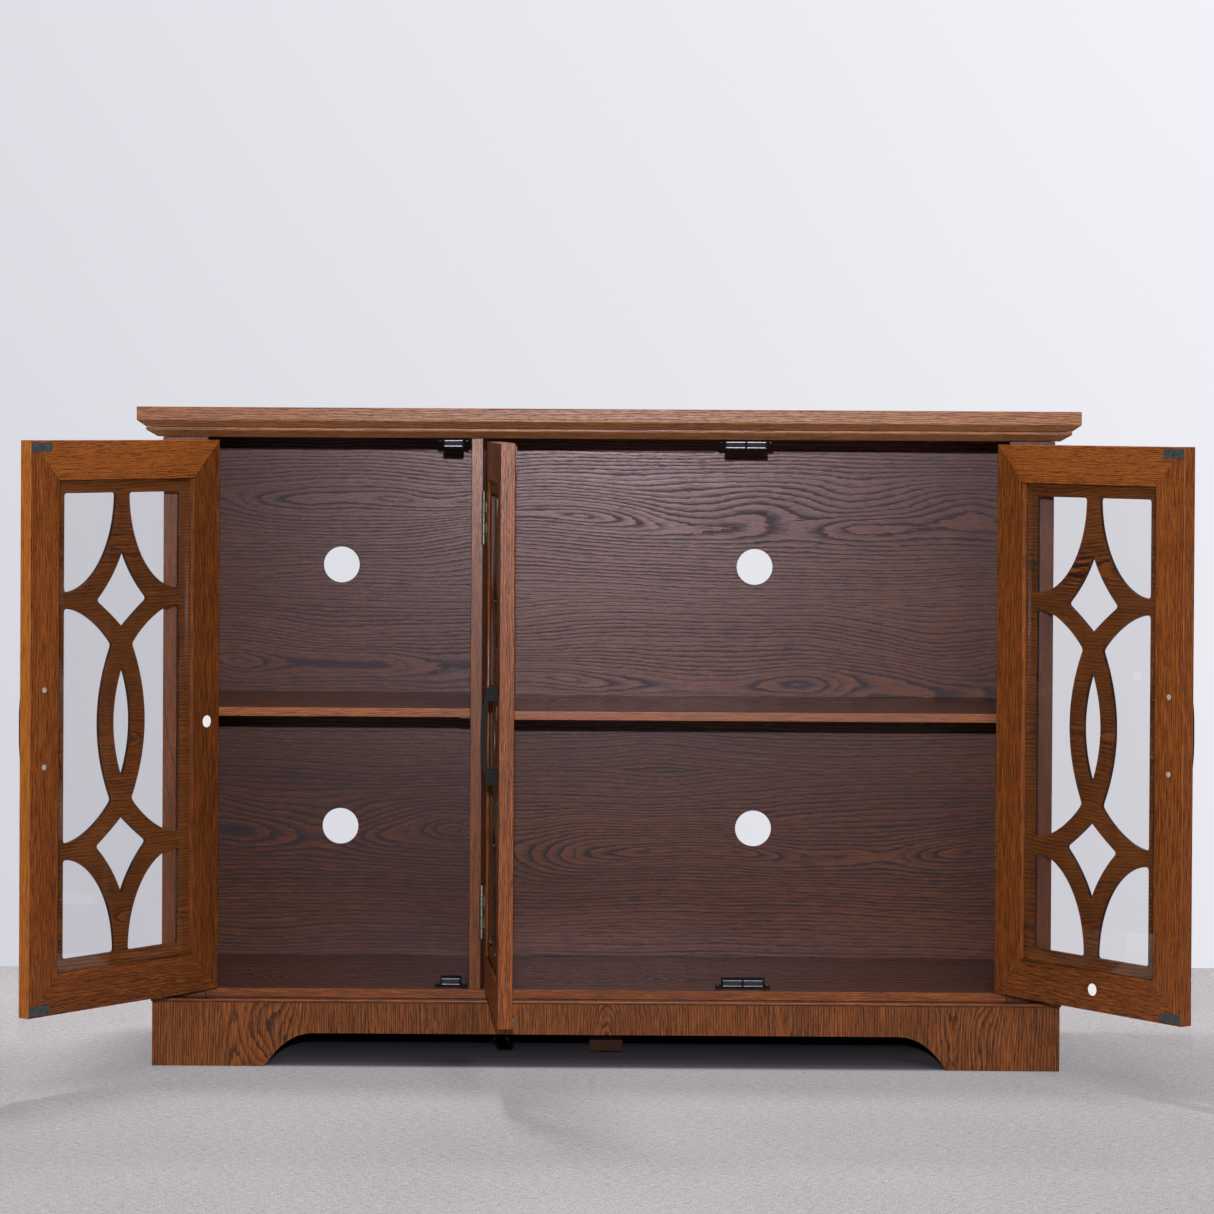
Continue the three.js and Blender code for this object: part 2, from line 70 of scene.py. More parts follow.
def make_camera():
    """A long lens at the height of the top board, almost level."""
    data = bpy.data.cameras.new("camera")
    data.sensor_width = SENSOR
    data.lens = LENS
    data.shift_y = LENS_RISE
    data.clip_start = 0.1
    data.clip_end = 60.0
    camera = bpy.data.objects.new("camera", data)
    scene.collection.objects.link(camera)
    turn = (
        Matrix.Rotation(math.radians(CAMERA_YAW), 4, "Z")
        @ Matrix.Rotation(math.radians(90.0 - CAMERA_DOWN), 4, "X")
        @ Matrix.Rotation(math.radians(CAMERA_ROLL), 4, "Z")
    )
    camera.matrix_world = Matrix.Translation(CAMERA_PLACE) @ turn
    scene.camera = camera


def linear(red, green, blue):
    """An sRGB colour, 0 to 255, as the linear RGBA that sockets take."""
    parts = []
    for value in (red, green, blue):
        share = value / 255.0
        low = share <= 0.04045
        parts.append(share / 12.92 if low else ((share + 0.055) / 1.055) ** 2.4)
    return (*parts, 1.0)


class Graph:
    """Short calls that build one material's node tree."""

    def __init__(self, name):
        self.material = bpy.data.materials.new(name)
        self.material.use_nodes = True
        self.tree = self.material.node_tree
        self.shader = self.tree.nodes["Principled BSDF"]
        self.output = self.tree.nodes["Material Output"]

    def feed(self, socket, value):
        """Links a socket's value, or sets it when it is a plain number or colour."""
        if isinstance(value, bpy.types.NodeSocket):
            self.tree.links.new(value, socket)
        else:
            socket.default_value = value

    def node(self, kind, inputs, **settings):
        """A shader node with its settings and its inputs, by name or place."""
        made = self.tree.nodes.new("ShaderNode" + kind)
        for key, value in settings.items():
            setattr(made, key, value)
        for socket, value in inputs.items():
            self.feed(made.inputs[socket], value)
        return made

    def math(self, operation, first, second=0.0, third=0.0, clamp=False):
        inputs = {0: first, 1: second, 2: third}
        return self.node("Math", inputs, operation=operation, use_clamp=clamp).outputs[0]

    def scaled(self, vector, factors):
        made = self.node("VectorMath", {0: vector, 1: factors}, operation="MULTIPLY")
        return made.outputs[0]

    def noise(self, vector, scale, detail=2.0, roughness=0.5):
        inputs = {"Vector": vector, "Scale": scale, "Detail": detail, "Roughness": roughness}
        return self.node("TexNoise", inputs)

    def ramp(self, value, stops, interpolation="LINEAR"):
        made = self.node("ValToRGB", {0: value})
        elements = made.color_ramp.elements
        made.color_ramp.interpolation = interpolation
        while len(elements) < len(stops):
            elements.new(0.5)
        for element, (position, colour) in zip(elements, stops):
            element.position = position
            element.color = colour
        return made.outputs[0]

    def bump(self, height, distance, strength):
        """Raises the shader's surface by height times distance, in metres."""
        inputs = {"Height": height, "Distance": distance, "Strength": strength}
        self.feed(self.shader.inputs["Normal"], self.node("Bump", inputs).outputs[0])

    def set(self, **sockets):
        """Feeds the shader's sockets, with _ for each space in their names."""
        for name, value in sockets.items():
            self.feed(self.shader.inputs[name.replace("_", " ")], value)


def grey(value):
    """A linear grey as RGBA."""
    return (value, value, value, 1.0)


VENEER_REPEAT = 0.115  # from one heart of the veneer to the next edge of its leaf
HEART_DEPTH = 0.011  # how far the cut lies from the middle of the log
HEART_ROUNDING = 0.004
SWAY = 0.030  # how far the heart wanders sideways
WOBBLE = 0.0040  # how far the edges of the rings wander

# Cycles of each pattern in a metre along the grain and across it, and how the seed moves it.
DRIFT_SCALE = (2.1, 5.0, 1.0)
WOBBLE_SCALE = (45.0, 260.0, 1.0)
STREAK_SCALE = (30.0, 900.0, 3.0)
PORE_SCALE = (95.0, 1700.0, 5.0)
PATCH_SCALE = (1.7, 9.0, 2.0)

# Darkness through one growth ring, from its pored early wood to its plain late wood.
RING_STOPS = [
    (0.0, grey(0.9)), (0.1, grey(1.0)), (0.3, grey(0.45)), (0.62, grey(0.12)),
    (0.9, grey(0.05)), (1.0, grey(0.7)),
]


def make_wood(name, pale, middle, dark, rings, figure, sweep=0.17, gloss=0.27, shine=0.12,
              veil=(1.0, 0.80, 0.80, 1.0)):
    """Oak veneer. It reads "grain": metres along the grain, metres across it, and a seed.

    rings is the spacing of the growth rings, and figure how strongly they show. sweep is how
    far the cathedrals reach. gloss is the roughness of the lacquer, shine the strength of its
    reflections, and veil their tint. A board's own "tone" darkens it.
    """
    g = Graph(name)
    grain = g.node("Attribute", {}, attribute_name="grain").outputs["Vector"]
    tone_and_shade = g.node("Attribute", {}, attribute_name="tone_and_shade").outputs["Fac"]
    across = g.node("SeparateXYZ", {0: grain}).outputs["Y"]

    drift = g.noise(g.scaled(grain, DRIFT_SCALE), 1.0, 2.0, 0.45)
    drift_parts = g.node("SeparateColor", {0: drift.outputs["Color"]})
    sway = g.math("MULTIPLY_ADD", drift_parts.outputs[0], SWAY, -SWAY / 2)
    rise = g.math("MULTIPLY_ADD", drift_parts.outputs[1], sweep, HEART_DEPTH - sweep / 2)
    wobble = g.noise(g.scaled(grain, WOBBLE_SCALE), 1.0, 3.0, 0.65)
    wobbled = g.math("MULTIPLY_ADD", wobble.outputs["Fac"], WOBBLE, -WOBBLE / 2)
    folded = g.math("PINGPONG", g.math("ADD", across, sway), VENEER_REPEAT)
    place = g.node("CombineXYZ", {0: folded, 1: rise, 2: HEART_ROUNDING})
    radius = g.node("VectorMath", {0: place.outputs[0]}, operation="LENGTH").outputs["Value"]
    phase = g.math("DIVIDE", g.math("ADD", radius, wobbled), rings)
    ring = g.ramp(g.math("FRACT", phase), RING_STOPS, "EASE")
    number = g.math("FLOOR", phase)
    weight = g.node("TexWhiteNoise", {"W": number}, noise_dimensions="1D").outputs["Value"]
    lines = g.math("MULTIPLY", ring, g.math("MULTIPLY_ADD", weight, figure, figure * 0.55))

    streaks = g.noise(g.scaled(grain, STREAK_SCALE), 1.0, 5.0, 0.75).outputs["Fac"]
    pores = g.noise(g.scaled(grain, PORE_SCALE), 1.0, 2.0, 0.6).outputs["Fac"]
    pore_mask = g.ramp(pores, [(0.50, grey(0.0)), (0.66, grey(1.0))])
    patches = g.noise(g.scaled(grain, PATCH_SCALE), 1.0, 1.0, 0.5).outputs["Fac"]

    fine = g.math("MULTIPLY_ADD", streaks, 2.8, -1.4)
    pored = g.math("MULTIPLY", pore_mask, g.math("MULTIPLY_ADD", ring, 0.34, 0.26))
    toned = g.math("MULTIPLY_ADD", patches, 0.4, g.math("ADD", tone_and_shade, 0.03))
    shade = g.math("ADD", g.math("ADD", lines, fine), g.math("ADD", pored, toned), clamp=True)
    colour = g.ramp(shade, [(0.05, pale), (0.42, middle), (0.98, dark)])

    open_grain = g.math("MAXIMUM", lines, g.math("MULTIPLY", pore_mask, 0.7), clamp=True)
    rough = g.math("MULTIPLY_ADD", streaks, 0.10, gloss - 0.07)
    g.set(Base_Color=colour, Roughness=g.math("MULTIPLY_ADD", open_grain, 0.17, rough))
    g.shader.inputs["Specular IOR Level"].default_value = shine
    g.shader.inputs["Specular Tint"].default_value = veil
    relief = g.math("ADD", g.math("MULTIPLY", lines, -0.15), g.math("MULTIPLY", pored, -2.0))
    g.bump(g.math("ADD", relief, g.math("MULTIPLY", streaks, -0.6)), 0.00007, 0.4)
    return g.material


def make_speckled(name, colour, second, scale, metal, rough, rough_range, relief, shine=0.5):
    """A paint, plastic or metal with fine cloudy variation in colour, gloss and surface."""
    g = Graph(name)
    place = g.node("TexCoord", {}).outputs["Object"]
    cloud = g.noise(place, scale, 3.0, 0.6).outputs["Fac"]
    fine = g.noise(place, scale * 9.0, 2.0, 0.5).outputs["Fac"]
    g.set(Base_Color=g.ramp(cloud, [(0.3, colour), (0.72, second)]))
    g.set(Roughness=g.math("MULTIPLY_ADD", fine, rough_range, rough - rough_range / 2))
    g.shader.inputs["Metallic"].default_value = metal
    g.shader.inputs["Specular IOR Level"].default_value = shine
    g.bump(fine, relief, 0.6)
    return g.material


def make_brushed(name, colour, second, rough):
    """Plated steel with fine lines along z."""
    g = Graph(name)
    place = g.node("TexCoord", {}).outputs["Object"]
    lines = g.noise(g.scaled(place, (4200.0, 4200.0, 160.0)), 1.0, 3.0, 0.6).outputs["Fac"]
    cloud = g.noise(place, 70.0, 2.0, 0.5).outputs["Fac"]
    g.set(Base_Color=g.ramp(cloud, [(0.3, colour), (0.7, second)]))
    g.set(Roughness=g.math("MULTIPLY_ADD", lines, 0.2, rough - 0.1))
    g.shader.inputs["Metallic"].default_value = 1.0
    g.bump(lines, 0.00004, 0.5)
    return g.material


def make_glass(name):
    """Clear float glass with a faint bloom of dust, which lets lamps through."""
    g = Graph(name)
    place = g.node("TexCoord", {}).outputs["Object"]
    dust = g.noise(place, 26.0, 4.0, 0.6).outputs["Fac"]
    bloom = g.ramp(dust, [(0.4, grey(0.0)), (1.0, grey(0.05))])
    g.set(Base_Color=linear(238, 238, 239), Roughness=bloom)
    g.shader.inputs["Transmission Weight"].default_value = 1.0
    g.shader.inputs["IOR"].default_value = 1.5
    path = g.node("LightPath", {})
    clear = g.node("BsdfTransparent", {"Color": (0.94, 0.94, 0.95, 1.0)})
    inputs = {0: path.outputs["Is Shadow Ray"], 1: g.shader.outputs[0], 2: clear.outputs[0]}
    mixed = g.node("MixShader", inputs)
    g.feed(g.output.inputs["Surface"], mixed.outputs[0])
    return g.material


FLOOR_REACH = 8.0
FLOOR_GLOW = 0.25
# The floor under the cabinet is painted shade: UNDER_HALF is half its width, UNDER_FRONT and
# UNDER_BACK its ends.
UNDER_HALF = 0.590  # half the width of the dark floor under the cabinet
UNDER_FRONT = -0.126
UNDER_BACK = 0.190
WALL_Y = 0.795
WALL_SKEW = 0.0356  # metres of depth for each metre sideways
WALL_HEIGHT = 5.0


def make_floor():
    """Pale grey woven cloth, which glows a little and more towards the back, with painted shade
    under the cabinet.
    """
    g = Graph("floor_cloth")
    place = g.node("TexCoord", {}).outputs["Object"]
    parts = g.node("SeparateXYZ", {0: place})
    cloud = g.noise(place, 1.6, 3.0, 0.5).outputs["Fac"]
    warp = g.noise(g.scaled(place, (700.0, 90.0, 1.0)), 1.0, 3.0, 0.7).outputs["Fac"]
    weft = g.noise(g.scaled(place, (90.0, 420.0, 1.0)), 1.0, 3.0, 0.7).outputs["Fac"]
    weave = g.math("ADD", g.math("MULTIPLY", warp, 0.5), g.math("MULTIPLY", weft, 0.5))
    mixed = g.math("MULTIPLY_ADD", weave, 0.88, g.math("MULTIPLY", cloud, 0.12))
    cloth = g.ramp(mixed, [(0.36, linear(150, 147, 148)), (0.64, linear(220, 216, 218))])
    # Each of these is 0 within the painted shade under the cabinet and 1 beyond it, with a soft
    # edge.
    from_middle = g.math("ABSOLUTE", parts.outputs["X"])
    sides = g.node("MapRange", {0: from_middle, 1: UNDER_HALF, 2: UNDER_HALF + 0.004})
    front = g.node("MapRange", {0: parts.outputs["Y"], 1: UNDER_FRONT, 2: UNDER_FRONT - 0.02})
    back = g.node("MapRange", {0: parts.outputs["Y"], 1: UNDER_BACK, 2: UNDER_BACK + 0.01})
    ends = g.math("MAXIMUM", front.outputs[0], back.outputs[0])
    open_floor = g.math("MAXIMUM", sides.outputs[0], ends)
    # The painted shade darkens from the front of the cabinet towards its back, as the shadow
    # deepens.
    depth = g.node("MapRange", {0: parts.outputs["Y"], 1: -0.03, 2: 0.10}).outputs[0]
    painted_shade = g.ramp(depth, [(0.0, linear(98, 95, 104)), (1.0, linear(20, 18, 20))])
    # The cloth's diffuse colour is dimmed, because the painted glow stands in for much of its
    # light.
    dimmed_cloth = g.node("MixRGB", {0: 1.0, 1: cloth, 2: grey(0.52)}, blend_type="MULTIPLY").outputs[0]
    colour = g.node("MixRGB", {0: open_floor, 1: painted_shade, 2: dimmed_cloth}).outputs[0]
    g.set(Base_Color=colour, Roughness=g.math("MULTIPLY_ADD", weave, 0.2, 0.7))
    # The floor's glow is painted light: it rises towards the back, and is left out under the
    # cabinet.
    glow_rise_to_back = g.node("MapRange", {0: parts.outputs["Y"], 1: -0.9, 2: 0.6, 3: 1.0, 4: 2.0}).outputs[0]
    painted_glow = g.math("MULTIPLY", glow_rise_to_back, FLOOR_GLOW)
    g.set(Emission_Color=cloth, Emission_Strength=g.math("MULTIPLY", open_floor, painted_glow))
    g.shader.inputs["Specular IOR Level"].default_value = 0.0
    g.bump(weave, 0.0006, 0.4)
    return g.material


def make_wall():
    """A glowing backdrop, painted brighter towards the right and the top. It stays dim for bounced
    light and clear from behind.
    """
    g = Graph("wall_painted_glow")
    place = g.node("TexCoord", {}).outputs["Object"]
    parts = g.node("SeparateXYZ", {0: place})
    cloud = g.noise(place, 0.6, 2.0, 0.5).outputs["Fac"]
    # The backdrop's glow is painted light, rising towards the right and towards the top.
    across = g.math("MULTIPLY_ADD", parts.outputs["X"], 0.26, 0.36)
    up = g.math("MULTIPLY_ADD", parts.outputs["Z"], 0.20, across)
    level = g.math("MULTIPLY_ADD", cloud, 0.12, up)
    painted_glow = g.ramp(level, [(0.0, linear(205, 205, 213)), (1.0, linear(244, 243, 250))])
    shining = g.node("Emission", {"Color": painted_glow, "Strength": 1.0})
    g.set(Base_Color=linear(80, 80, 84), Roughness=0.9)
    bounced = g.node("LightPath", {}).outputs["Is Diffuse Ray"]
    inputs = {0: bounced, 1: shining.outputs[0], 2: g.shader.outputs[0]}
    faced = g.node("MixShader", inputs)
    back = g.node("NewGeometry", {}).outputs["Backfacing"]
    clear = g.node("BsdfTransparent", {})
    inputs = {0: back, 1: faced.outputs[0], 2: clear.outputs[0]}
    g.feed(g.output.inputs["Surface"], g.node("MixShader", inputs).outputs[0])
    return g.material


def flat_sheet(name, corners, material):
    """One square of the stage."""
    mesh = bpy.data.meshes.new(name)
    mesh.from_pydata(corners, [], [(0, 1, 2, 3)])
    mesh.materials.append(material)
    sheet = bpy.data.objects.new(name, mesh)
    scene.collection.objects.link(sheet)


def make_stage_set():
    """The floor, and a wall close behind the cabinet."""
    reach = FLOOR_REACH
    corners = [(-reach, -reach, 0), (reach, -reach, 0), (reach, reach, 0), (-reach, reach, 0)]
    flat_sheet("floor", corners, make_floor())
    left = (-reach, WALL_Y - reach * WALL_SKEW)
    right = (reach, WALL_Y + reach * WALL_SKEW)
    corners = [(*left, 0.0), (*right, 0.0), (*right, WALL_HEIGHT), (*left, WALL_HEIGHT)]
    flat_sheet("wall", corners, make_wall())


def area_light(name, place, target, size, power, colour, size_y=None, glossy=True):
    """A disk, or a rectangle if it has a second size. The unglossy ones cast no reflection."""
    data = bpy.data.lights.new(name, "AREA")
    data.shape = "RECTANGLE" if size_y else "DISK"
    data.size = size
    if size_y:
        data.size_y = size_y
    data.energy = power
    data.color = colour
    light = bpy.data.objects.new(name, data)
    scene.collection.objects.link(light)
    light.location = place
    aim = Vector(target) - Vector(place)
    light.rotation_euler = aim.to_track_quat("-Z", "Y").to_euler()
    light.visible_camera = False
    light.visible_glossy = glossy


WORLD_COLOUR = (0.86, 0.88, 0.93, 1.0)
WORLD_LIGHT = 0.16
WORLD_SEEN = 0.85


def make_lights():
    """A small lamp by the camera, soft ones over the cabinet, and a dim world all round."""
    area_light("key", (0.026, -5.14, 1.12), (0, 0, 0.5), 0.05, 195.0, (1.0, 0.975, 0.98))
    area_light("overhead", (0.2, -2.3, 3.2), (0.1, 0.0, 0.6), 3.0, 55.0, (0.97, 0.96, 1.0),
               size_y=1.6)
    area_light("side", (0.9, -4.2, 2.4), (0.1, 0.0, 0.4), 0.9, 46.0, (1.0, 0.96, 0.92),
               glossy=False)
    area_light("ceiling", (-0.45, 0.30, 3.0), (0.0, -0.3, 0.0), 0.35, 42.0, (0.99, 0.97, 1.0),
               glossy=False)
    area_light("rear", (0.0, 0.70, 2.0), (0.0, 0.25, 0.4), 1.8, 22.0, (1.0, 0.98, 0.97),
               size_y=0.12, glossy=False)
    world = bpy.data.worlds.new("world")
    scene.world = world
    world.use_nodes = True
    tree = world.node_tree
    background = tree.nodes["Background"]
    background.inputs["Color"].default_value = WORLD_COLOUR
    seen = tree.nodes.new("ShaderNodeLightPath").outputs["Is Camera Ray"]
    strength = tree.nodes.new("ShaderNodeMapRange")
    strength.inputs["To Min"].default_value = WORLD_LIGHT
    strength.inputs["To Max"].default_value = WORLD_SEEN
    tree.links.new(seen, strength.inputs["Value"])
    tree.links.new(strength.outputs[0], background.inputs["Strength"])
    scene.view_settings.view_transform = "Standard"
    scene.view_settings.look = "None"


# ---------------------------------------------------------------- shapes

AXES = {"x": Vector((1, 0, 0)), "y": Vector((0, 1, 0)), "z": Vector((0, 0, 1))}
HERE = Matrix.Identity(4)
STRAIGHT = 0.062  # metres from the heart of the veneer, where its grain runs straight
SHARP_TURN = 20  # degrees that an edge turns before it is rounded
WELD = 1e-5  # metres
FLAT_ENOUGH = 0.6  # degrees between the facets of one flat face


def soften(bm, width, segments=3, spared=None):
    """Rounds every edge that turns sharply, except the spared ones."""
    edges = [
        e for e in bm.edges
        if len(e.link_faces) == 2
        and e.calc_face_angle() > math.radians(SHARP_TURN)
        and not (spared and spared(e))
    ]
    bmesh.ops.bevel(
        bm, geom=edges, offset=width * MM, offset_type="OFFSET", segments=segments,
        profile=0.5, affect="EDGES", clamp_overlap=True,
    )


def add_prism(bm, outline, low, high, plane="xz"):
    """Adds a closed outline, in millimetres in that plane, extruded from low to high."""
    first, second = ("xyz".index(letter) for letter in plane)
    third = 3 - first - second

    def point(pair, level):
        made = [0.0, 0.0, 0.0]
        made[first] = pair[0] * MM
        made[second] = pair[1] * MM
        made[third] = level * MM
        return bm.verts.new(made)

    bottom = [point(pair, low) for pair in outline]
    top = [point(pair, high) for pair in outline]
    bm.faces.new(bottom)
    bm.faces.new(top[::-1])
    for i, vertex in enumerate(bottom):
        j = (i + 1) % len(bottom)
        bm.faces.new((bottom[j], vertex, top[i], top[j]))


def add_turned(bm, profile, middle=(0, 0), sides=32):
    """Adds a closed turned shape: profile is radius and height, from one end to the other."""
    rings = []
    for radius, height in profile:
        ring = []
        for i in range(sides if radius > 0 else 1):
            angle = 2 * math.pi * i / sides
            x = middle[0] + radius * math.cos(angle)
            y = middle[1] + radius * math.sin(angle)
            ring.append(bm.verts.new((x * MM, y * MM, height * MM)))
        rings.append(ring)
    for low, high in zip(rings, rings[1:]):
        for i in range(sides):
            j = (i + 1) % sides
            corners = [low[i % len(low)], low[j % len(low)]]
            corners += [high[j % len(high)], high[i % len(high)]]
            corners = list(dict.fromkeys(corners))
            if len(corners) > 2:
                bm.faces.new(corners)


def rectangle(x_low, x_high, z_low, z_high):
    """A rectangle's corners, counterclockwise."""
    return [(x_low, z_low), (x_high, z_low), (x_high, z_high), (x_low, z_high)]


def bezier(points, steps):
    """Points along a quadratic or cubic curve, without its first one."""
    made = []
    for i in range(1, steps + 1):
        share = i / steps
        row = [Vector(p) for p in points]
        while len(row) > 1:
            row = [a.lerp(b, share) for a, b in zip(row, row[1:])]
        made.append(tuple(row[0]))
    return made


def rounded(outline, corners, steps=5):
    """The outline with corners rounded. corners maps a place in the list to how far to cut back."""
    count = len(outline)
    points = [Vector(p) for p in outline]
    made = []
    dropped = set()
    arcs = {}
    for index, reach in corners.items():
        ends = []
        for step in (-1, 1):
            left = reach
            here = index
            while True:
                after = (here + step) % count
                gap = (points[after] - points[here]).length
                if gap >= left:
                    ends.append(points[here].lerp(points[after], left / gap))
                    break
                left -= gap
                here = after
                dropped.add(here)
        first, last = ends
        arcs[index] = [tuple(first), *bezier([first, points[index], last], steps)]
    for i in range(count):
        if i in arcs:
            made.extend(arcs[i])
        elif i not in dropped:
            made.append(tuple(points[i]))
    return made


def lay_grain(mesh, inverse, along, main, offset, seed):
    """Writes for each face corner its place in the veneer, for the wood materials to read.

    The grain runs along one axis. The faces towards the main axis show the veneer offset from
    its heart, and the other long faces and the ends show straight grain.
    """
    layer = mesh.attributes.new("grain", "FLOAT_VECTOR", "CORNER")
    points = [inverse @ v.co for v in mesh.vertices]
    turn = inverse.to_3x3()
    middle = sum(points, Vector()) / len(points)
    other = AXES[along].cross(AXES[main])
    for polygon in mesh.polygons:
        normal = turn @ polygon.normal
        lengthwise = AXES[along]
        if abs(normal.dot(lengthwise)) > 0.8:
            lengthwise = other
            sideways = AXES[main]
        else:
            sideways = lengthwise.cross(normal).normalized()
        shown_wide = abs(normal.dot(AXES[main])) > 0.7
        start = offset if shown_wide else STRAIGHT
        for loop in polygon.loop_indices:
            place = points[mesh.loops[loop].vertex_index]
            u = place.dot(lengthwise) + 0.37 * seed
            v = (place - middle).dot(sideways) + start
            layer.data[loop].vector = (u, v, 1.7 * seed)


seeds = iter(range(1, 1000))


def faces_front(normal):
    """True for a board's front edge."""
    return normal.y < -0.6


def is_free_edge(normal):
    """True for the edge of a door that is furthest from its hinges."""
    return normal.x > 0.9


def is_cut_wall(normal):
    """True for the walls of an opening cut through a door's panel."""
    return abs(normal.y) < 0.5


def add_piece(bm, name, material, body, place=HERE, replaces=(), grain=None, edge=None,
              edge_rule=faces_front, crease=50, tone_and_shade=0.0):
    """Makes the bmesh an object at place, which rides on body.

    grain is (along, main, offset) for lay_grain, and tone is how much darker the wood is. edge is
    a second material, for the faces whose normal, in place's coordinates, fits edge_rule. crease
    is the turn in degrees from which an edge is shaded sharp.
    """
    bmesh.ops.recalc_face_normals(bm, faces=bm.faces)
    mesh = bpy.data.meshes.new(name)
    bm.to_mesh(mesh)
    bm.free()
    mesh.transform(place)
    if place.determinant() < 0:
        mesh.flip_normals()
    if grain:
        lay_grain(mesh, place.inverted(), *grain, next(seeds))
        layer = mesh.attributes.new("tone_and_shade", "FLOAT", "POINT")
        layer.data.foreach_set("value", [tone_and_shade] * len(mesh.vertices))
    mesh.materials.append(material)
    if edge:
        mesh.materials.append(edge)
        turn = place.inverted().to_3x3()
        for polygon in mesh.polygons:
            polygon.material_index = int(edge_rule(turn @ polygon.normal))
    mesh.shade_smooth()
    mesh.set_sharp_from_angle(angle=math.radians(crease))
    made = bpy.data.objects.new(name, mesh)
    scene.collection.objects.link(made)
    weighted = made.modifiers.new("even_normals", "WEIGHTED_NORMAL")
    weighted.keep_sharp = True
    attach(made, body)
    if replaces:
        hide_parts(*replaces)
    return made


def cad_copy(node, place=HERE):
    """The node's solid as a clean bmesh in place's coordinates, with whole faces."""
    bm = bmesh.new()
    bm.from_mesh(frame["nodes"][node].data)
    bmesh.ops.transform(bm, matrix=place.inverted(), verts=bm.verts)
    bmesh.ops.remove_doubles(bm, verts=bm.verts, dist=WELD)
    bmesh.ops.dissolve_limit(
        bm, angle_limit=math.radians(FLAT_ENOUGH), verts=bm.verts, edges=bm.edges
    )
    return bm


def local_box(node, place):
    """The node's lowest and highest corners in place's coordinates, in millimetres."""
    inverse = place.inverted()
    points = [inverse @ v.co for v in frame["nodes"][node].data.vertices]
    low = Vector(min(p[i] for p in points) / MM for i in range(3))
    high = Vector(max(p[i] for p in points) / MM for i in range(3))
    return low, high


# ---------------------------------------------------------------- materials

make_camera()
make_stage_set()
make_lights()

# Each wood has its pale, middle and dark colour, the spacing of its rings and its figure.
OAK_DOOR = make_wood(
    "oak_door", linear(136, 78, 35), linear(102, 53, 20), linear(48, 25, 13), 0.0027, 0.52,
    shine=0.18)
# A paler copy of the door oak: a painted highlight on a door's free edge.
OAK_PAINTED_LIT_EDGE = make_wood(
    "oak_door_painted_lit_edge", linear(176, 106, 42), linear(148, 84, 30), linear(92, 50, 18), 0.0030, 0.35)
# A paler, pinker copy of the oak for the top boards: its extra paleness is painted sheen of the
# light from above.
OAK_CORNICE_SHEENED = make_wood(
    "oak_cornice_painted_sheen", linear(150, 104, 70), linear(122, 77, 48), linear(72, 43, 29), 0.0032, 0.42,
    gloss=0.32, shine=0.13, veil=(0.82, 0.9, 1.0, 1.0))
OAK_CARCASS = make_wood(
    "oak_carcass", linear(117, 67, 32), linear(92, 49, 21), linear(50, 27, 14), 0.0030, 0.46,
    shine=0.22)
OAK_BACK = make_wood(
    "oak_back", linear(93, 57, 37), linear(69, 39, 26), linear(24, 13, 10), 0.0050, 1.0,
    sweep=0.22, gloss=0.25, shine=0.17, veil=(0.98, 0.80, 0.90, 1.0))
OAK_INSIDE = make_wood(
    "oak_inside", linear(102, 61, 42), linear(80, 44, 30), linear(46, 26, 18), 0.0040, 0.5,
    veil=(1.0, 0.85, 0.82, 1.0))
OAK_PLINTH = make_wood(
    "oak_plinth", linear(124, 71, 34), linear(92, 51, 24), linear(44, 25, 14), 0.0034, 0.56,
    sweep=0.24)
OAK_FRETWORK = make_wood(
    "oak_fretwork", linear(108, 60, 25), linear(78, 42, 17), linear(32, 18, 9), 0.0042, 0.85)
OAK_CUT = make_wood(
    "oak_cut_edge", linear(44, 25, 15), linear(34, 19, 12), linear(20, 11, 8), 0.0034, 0.3)
GLASS = make_glass("clear_glass")

# The speckled ones have two colours, the scale of their mottling, metalness, roughness and its
# range, relief, and for some the strength of their reflections.
BLACK_METAL = make_speckled(
    "black_metal", linear(18, 18, 21), linear(26, 26, 30), 900.0, 0.0, 0.42, 0.14, 0.00003, 0.03)
BLACK_PLASTIC = make_speckled(
    "black_plastic", linear(13, 12, 15), linear(20, 19, 23), 700.0, 0.0, 0.55, 0.16, 0.00004, 0.03)
ZINC = make_speckled(
    "zinc_plate", linear(58, 61, 64), linear(84, 87, 90), 260.0, 0.6, 0.58, 0.2, 0.00003)
BRIGHT_STEEL = make_speckled(
    "bright_steel", linear(94, 97, 103), linear(120, 123, 129), 400.0, 1.0, 0.44, 0.16, 0.00002)
SCREW_STEEL = make_speckled(
    "screw_steel", linear(150, 148, 144), linear(186, 184, 178), 500.0, 0.35, 0.38, 0.16, 0.00002)
NICKEL = make_brushed("nickel", linear(96, 93, 80), linear(114, 110, 96), 0.5)
PAPER = make_speckled(
    "blank_paper", linear(226, 226, 224), linear(238, 238, 236), 500.0, 0.0, 0.75, 0.1, 0.00003)
FERRITE = make_speckled(
    "ferrite", linear(34, 32, 36), linear(46, 44, 50), 900.0, 0.0, 0.6, 0.2, 0.00005, 0.08)

# ---------------------------------------------------------------- carcass

